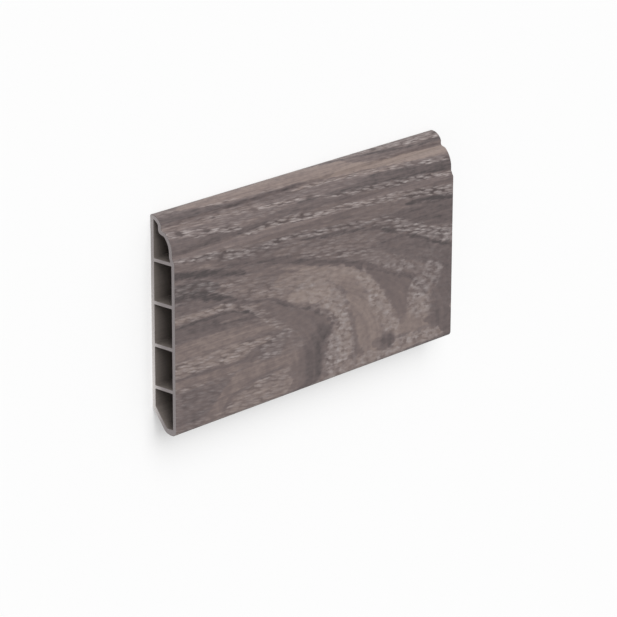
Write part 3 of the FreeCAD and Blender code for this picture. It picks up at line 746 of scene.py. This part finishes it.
    def cover(self, tree: Tree, band: Band, share: Socket, across: Socket, ragged: Socket) -> Socket:
        """Works out how far a band covers what is under it.

        Args:
            tree: The film's node tree.
            band: The band.
            share: The place along the band, as a share of the stretch it runs over.
            across: The place across the band, in mm.
            ragged: A cloud that frays the band's edges, in mm.

        Returns:
            The cover, from 0 to the band's strength.
        """
        lower, upper = self.edge_curves(tree, band, share)
        above = add_node(tree, "Math", {0: across, 1: lower}, operation="SUBTRACT")
        below = add_node(tree, "Math", {0: upper, 1: across}, operation="SUBTRACT")
        inside = add_node(tree, "Math", {0: above, 1: below}, operation="MINIMUM")
        frayed = min(band.soft / self.whole_fray, 1.0)
        inside = add_node(tree, "Math", {0: ragged, 1: frayed, 2: inside}, operation="MULTIPLY_ADD")
        start, end = (part * band.soft for part in self.fade)
        given = {"Value": inside, "From Min": start, "From Max": end, "To Max": band.strength}
        return add_node(tree, "MapRange", given, interpolation_type="SMOOTHSTEP")

    def streaked(self, sheet: Sheet, arched: Socket, tone: Socket) -> Socket:
        """Draws the year rings' faint arches, the fine fibre lines along the grain and a soft mottle.

        Args:
            sheet: The flat film.
            arched: The share of arched grain.
            tone: The tone before them.

        Returns:
            The tone with the streaks in it.
        """
        tree = sheet.tree
        back = add_node(tree, "Math", {0: sheet.up, 1: self.heart_up}, operation="SUBTRACT")
        back = add_node(tree, "Math", {0: back}, operation="ABSOLUTE")
        back = add_node(tree, "Math", {0: back, 1: self.arch_rise}, operation="DIVIDE")
        back = add_node(tree, "Math", {0: back, 1: self.arch_power}, operation="POWER")
        ring = add_node(tree, "Math", {0: sheet.along, 1: back}, operation="ADD")
        bent = add_node(tree, "CombineXYZ", {0: sheet.along, 1: ring})
        straight = add_node(tree, "Math", {0: 1.0, 1: arched}, operation="SUBTRACT")
        shares = {Region.WHOLE: 1.0, Region.STRAIGHT: straight, Region.ARCHED: arched}
        for layer in self.streaks:
            fibre = stretched(tree, bent if layer.bent else sheet.point, layer.size)
            given = {"Vector": fibre, "Scale": 1.0, "Detail": 2.0}
            noise = add_node(tree, "TexNoise", given, noise_dimensions="2D")
            centred = add_node(tree, "Math", {0: noise, 1: 0.5}, operation="SUBTRACT")
            shared = add_node(tree, "Math", {0: centred, 1: shares[layer.region]}, operation="MULTIPLY")
            given = {0: shared, 1: 2 * layer.depth, 2: tone}
            tone = add_node(tree, "Math", given, operation="MULTIPLY_ADD")
        return tone

    def pore_ticks(
        self, sheet: Sheet, arched: Socket, flecks: Socket, colour: Socket
    ) -> tuple[Socket, Socket]:
        """Breaks the early wood up into short pale ticks, with painted shade in the embossed gaps between
        them.

        In the arches the pores are cut across, so there they are soft patches and not ticks, with painted
        shade in soft hollows.

        Args:
            sheet: The flat film.
            arched: The share of arched grain.
            flecks: The share of pores.
            colour: The colour under them.

        Returns:
            The colour with the ticks and their painted shade in it, and their height for the emboss.
        """
        tree = sheet.tree
        point = self.shaken(sheet)
        cells = stretched(tree, point, self.tick_size)
        given = {"Vector": cells, "Scale": 1.0}
        cells = add_node(tree, "TexVoronoi", given, voronoi_dimensions="2D").node.outputs
        distance = cells["Distance"]
        own = add_node(tree, "SeparateColor", {0: cells["Color"]})
        dullest, palest = self.tick_paleness
        own = add_node(tree, "MapRange", {"Value": own, "To Min": dullest, "To Max": palest})
        patches = stretched(tree, point, self.patch_size)
        given = {"Vector": patches, "Scale": 1.0, "Detail": 2.0}
        patchy = add_node(tree, "TexNoise", given, noise_dimensions="2D")
        # Painted shade: the dark gaps beside the embossed ticks, and the dark hollows in the arches.
        shade_gaps = (distance, self.shade_gap_reach, self.shade_gap_depth), (patchy, self.shaded_hollow_reach, self.shaded_hollow_depth)
        ticks = (distance, self.tick_reach, own), (patchy, self.patch_reach, self.patch_paleness)
        for paint, kinds in ((self.pore_shade, shade_gaps), (self.tick, ticks)):
            crisp, soft = (
                add_node(tree, "MapRange", {0: value, "From Min": none, "From Max": full, "To Max": most})
                for value, (none, full), most in kinds
            )
            amount = add_node(tree, "Mix", {"Factor": arched, NUMBER_A: crisp, NUMBER_B: soft})
            amount = add_node(tree, "Math", {0: amount, 1: flecks}, operation="MULTIPLY", use_clamp=True)
            given = {"Factor": amount, COLOUR_A: colour, COLOUR_B: linear(paint)}
            colour = add_node(tree, "Mix", given, MIXED_COLOUR, data_type="RGBA")
        return colour, distance

    def shaken(self, sheet: Sheet) -> Socket:
        """Slants the ticks' rows and shakes them out of line, as real pores are.

        Args:
            sheet: The flat film.

        Returns:
            The point to draw the ticks at, in mm.
        """
        tree = sheet.tree
        given = {0: sheet.along, 1: self.tick_fall, 2: sheet.up}
        slanted = add_node(tree, "Math", given, operation="MULTIPLY_ADD")
        point = add_node(tree, "CombineXYZ", {0: sheet.along, 1: slanted})
        given = {"Vector": point, "Scale": self.shake_scale, "Detail": 1.0}
        shake = add_node(tree, "TexNoise", given, "Color")
        shake = add_node(tree, "VectorMath", {0: shake, 1: (0.5, 0.5, 0.5)}, operation="SUBTRACT")
        shake = add_node(tree, "VectorMath", {0: shake, 1: (*self.tick_shake, 0)}, operation="MULTIPLY")
        return add_node(tree, "VectorMath", {0: point, 1: shake}, operation="ADD")


@dataclass(frozen=True)
class RigidPvc:
    """Unpainted grey PVC-U, extruded and then cut off with a fine saw.

    The walls come out of the die smooth and dull, with faint lines along them.
    The sawn ends are paler, with painted bounce light towards the back and the floor edge, and the saw's
    teeth leave fine close lines.
    Real saw lines are about 0.2 mm wide, too fine to show in the render, so they are drawn 0.6 mm wide.

    Attributes:
        wall, sawn, bounce_lit_pale: The colours of the walls, of a sawn end and of the painted light on it.
        roughness, sawn_roughness: How dull the walls and the ends are.
        ior: The index of rigid PVC.
        end_facing: How squarely a face looks along the board to count as sawn, from 0 to 1.
        line_length, line_width: The size of a line, in mm.
        line_span: The noise where a line is darkest and palest.
        line_shade: How far a line darkens and lightens the colour.
        line_relief, line_depth: The lines' bump, as a strength and a depth in mm.
        painted_light_height: The height above the back where the painted light starts, and where it is
            strongest, in mm.
        painted_light_power: How fast it strengthens between them.
        painted_light_across: The place across the board where the painted light starts and is whole, from
            the middle in mm.
        least_painted_light: The share of painted light before it starts.
    """

    wall: str = "#7c746f"
    sawn: str = "#979090"
    # Painted light: a sawn end turns this pale near the back and towards the floor edge, as if lit by light
    # bounced from the floor.
    bounce_lit_pale: str = "#f0ebe8"
    roughness: float = 0.55
    sawn_roughness: float = 0.8
    ior: float = 1.53
    end_facing: float = 0.7
    line_length: float = 50.0
    line_width: float = 0.625
    line_span: Span = (0.3, 0.7)
    line_shade: Span = (0.92, 1.06)
    line_relief: float = 0.3
    line_depth: float = 0.02
    painted_light_height: Span = (9.0, 0.5)
    painted_light_power: float = 2.2
    painted_light_across: Span = (35.0, -25.0)
    least_painted_light: float = 0.22

    def dress(self) -> Material:
        """Makes the hollow profile's material.

        Returns:
            The finished material.
        """
        material = fresh_material("extruded_grey_pvc")
        tree = material.node_tree
        coords = add_node(tree, "TexCoord", output="Object").node.outputs
        facing = add_node(tree, "SeparateXYZ", {0: coords["Normal"]})
        facing = add_node(tree, "Math", {0: facing}, operation="ABSOLUTE")
        at_end = add_node(tree, "Math", {0: facing, 1: self.end_facing}, operation="GREATER_THAN")
        along, across = (1 / (size * MM) for size in (self.line_length, self.line_width))
        scale = (along, across, across)
        scaled = add_node(tree, "VectorMath", {0: coords["Object"], 1: scale}, operation="MULTIPLY")
        lines = add_node(tree, "TexNoise", {"Vector": scaled, "Scale": 1.0, "Detail": 2.0})
        darkest, palest = self.line_span
        least, most = self.line_shade
        given = {"Value": lines, "From Min": darkest, "From Max": palest, "To Min": least, "To Max": most}
        shade = add_node(tree, "MapRange", given)
        with_painted_light = self.with_painted_light(tree, coords["Object"])
        given = {"Factor": at_end, COLOUR_A: linear(self.wall), COLOUR_B: with_painted_light}
        base = add_node(tree, "Mix", given, MIXED_COLOUR, data_type="RGBA")
        colour = add_node(tree, "VectorMath", {0: base, 1: shade}, operation="MULTIPLY")
        given = {"Value": at_end, "To Min": self.roughness, "To Max": self.sawn_roughness}
        rough = add_node(tree, "MapRange", given)
        depth = self.line_depth * MM
        given = {"Strength": self.line_relief, "Distance": depth, "Height": lines}
        normal = add_node(tree, "Bump", given)
        looks = {"Base Color": colour, "Roughness": rough, "IOR": self.ior, "Normal": normal}
        shader = add_node(tree, "BsdfPrincipled", looks)
        add_node(tree, "OutputMaterial", {"Surface": shader})
        return material

    def with_painted_light(self, tree: Tree, place: Socket) -> Socket:
        """Colours a sawn end, with painted bounce light that is paler on its back wall and towards the
        floor edge.

        Args:
            tree: The plastic's node tree.
            place: The place on the board, in metres.

        Returns:
            The end's colour.
        """
        _, across, height = add_node(tree, "SeparateXYZ", {0: place}).node.outputs
        # Painted bounce light: the end is paler near the back and towards the floor edge.
        start, whole = (value * MM for value in self.painted_light_height)
        to_back = add_node(tree, "MapRange", {"Value": height, "From Min": start, "From Max": whole})
        to_back = add_node(tree, "Math", {0: to_back, 1: self.painted_light_power}, operation="POWER")
        start, whole = (value * MM for value in self.painted_light_across)
        given = {"Value": across, "From Min": start, "From Max": whole, "To Min": self.least_painted_light}
        to_floor = add_node(tree, "MapRange", given)
        painted_light = add_node(tree, "Math", {0: to_back, 1: to_floor}, operation="MULTIPLY")
        given = {"Factor": painted_light, COLOUR_A: linear(self.sawn), COLOUR_B: linear(self.bounce_lit_pale)}
        return add_node(tree, "Mix", given, MIXED_COLOUR, data_type="RGBA")


@dataclass
class SkirtingLength:
    """The board: its hollow profile and the film round it, in the sizes that the frame gives."""

    frame: dict
    film: OakPrintFilm = OakPrintFilm()
    plastic: RigidPvc = RigidPvc()

    def build(self) -> list[str]:
        """Dresses both CAD nodes.

        Returns:
            The names of the dressed pieces.
        """
        low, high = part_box("decor_film")
        film = self.film.dress(tuple(side / MM for side in high - low))
        materials = {"hollow_profile": self.plastic.dress(), "decor_film": film}
        for name, material in materials.items():
            for slot in self.frame["nodes"][name].material_slots:
                slot.material = material
        return list(materials)


@dataclass
class Studio:
    """The floor, the lamp, the room's light and the camera.

    Attributes:
        floor_side: The floor's side, in metres.
        floor_colour, floor_seen: Its colour where it lights the board, and where it is seen.
        floor_glow: How much of what is seen is lit from within, which keeps the shadow faint.
        key_share: The key lamp's share of full white on a surface that faces it.
        key_spread: The angle that the lamp fills, in degrees, for its soft shadow.
        key_aim: The way its light falls.
        world_share: The room's light on every side.
        camera_place, camera_turn: Where the camera stands, in metres, and its turn in degrees.
        lens, sensor: Its focal length and its sensor's width, in mm.
    """

    floor_side: float = 30.0
    floor_colour: str = "#e9e8e8"
    floor_seen: str = "#fdfdfd"
    floor_glow: float = 0.4
    key_share: float = 0.77
    key_spread: float = 60.0
    key_aim: Triple = (0.15, -0.6, -0.8)
    world_share: float = 0.49
    camera_place: Triple = (-1.05463, 0.46509, 0.96832)
    camera_turn: Triple = (-18.8, -47.602, 0.286)
    lens: float = 191.09
    sensor: float = 36.0

    def build(self) -> None:
        """Builds the studio round the board."""
        bpy.context.scene.view_settings.view_transform = "Standard"
        self.add_floor()
        self.add_key_lamp()
        self.add_world()
        self.add_camera()

    def add_floor(self) -> None:
        """Lays a large pale floor that keeps the board's shadow."""
        half = self.floor_side / 2
        mesh = bpy.data.meshes.new("studio_floor")
        corners = [(-half, -half, 0), (half, -half, 0), (half, half, 0), (-half, half, 0)]
        mesh.from_pydata(corners, [], [(0, 1, 2, 3)])
        floor = bpy.data.objects.new("studio_floor", mesh)
        bpy.context.scene.collection.objects.link(floor)
        mesh.materials.append(self.paper())

    def paper(self) -> Material:
        """Makes matt paper, nearly white to the eye and a little darker where it lights the board.

        Returns:
            The finished material.
        """
        material = fresh_material("pale_paper_floor")
        tree = material.node_tree
        rays = add_node(tree, "LightPath").node.outputs
        given = {0: rays["Is Camera Ray"], 1: rays["Is Glossy Ray"]}
        seen = add_node(tree, "Math", given, operation="MAXIMUM")
        given = {"Factor": seen, COLOUR_A: linear(self.floor_colour), COLOUR_B: linear(self.floor_seen)}
        colour = add_node(tree, "Mix", given, MIXED_COLOUR, data_type="RGBA")
        matt = add_node(tree, "BsdfDiffuse", {"Color": colour})
        glow = add_node(tree, "Emission", {"Color": linear(self.floor_seen)})
        glowing = add_node(tree, "Math", {0: seen, 1: self.floor_glow}, operation="MULTIPLY")
        shader = add_node(tree, "MixShader", {0: glowing, 1: matt, 2: glow})
        add_node(tree, "OutputMaterial", {"Surface": shader})
        # The glow is only seen, so it isn't sampled as a lamp.
        material.cycles.emission_sampling = "NONE"
        return material

    def add_key_lamp(self) -> None:
        """Hangs one broad soft key lamp."""
        lamp = bpy.data.lights.new("key_softbox", "SUN")
        lamp.energy = math.pi * self.key_share
        lamp.angle = math.radians(self.key_spread)
        key = bpy.data.objects.new("key_softbox", lamp)
        key.rotation_euler = Vector(self.key_aim).normalized().to_track_quat("-Z", "Y").to_euler()
        bpy.context.scene.collection.objects.link(key)

    def add_world(self) -> None:
        """Fills the room with plain white light."""
        world = bpy.data.worlds.new("studio_world")
        world.use_nodes = True
        world.node_tree.nodes.clear()
        background = add_node(world.node_tree, "Background", {"Strength": self.world_share})
        add_node(world.node_tree, "OutputWorld", {"Surface": background})
        bpy.context.scene.world = world

    def add_camera(self) -> None:
        """Stands the camera where the photograph was taken from."""
        lens = bpy.data.cameras.new("photo_camera")
        lens.lens = self.lens
        lens.sensor_width = self.sensor
        lens.sensor_fit = "AUTO"
        camera = bpy.data.objects.new("photo_camera", lens)
        camera.location = self.camera_place
        camera.rotation_euler = Euler([math.radians(turn) for turn in self.camera_turn], "XYZ")
        bpy.context.scene.collection.objects.link(camera)
        bpy.context.scene.camera = camera


def main() -> None:
    """Builds the board and the studio in order."""
    logging.basicConfig(level=logging.INFO, format="%(message)s")
    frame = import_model()
    for piece in SkirtingLength(frame).build():
        LOG.info("dressed %s", piece)
    Studio().build()
    LOG.info("studio ready")


if __name__ == "__main__":
    main()
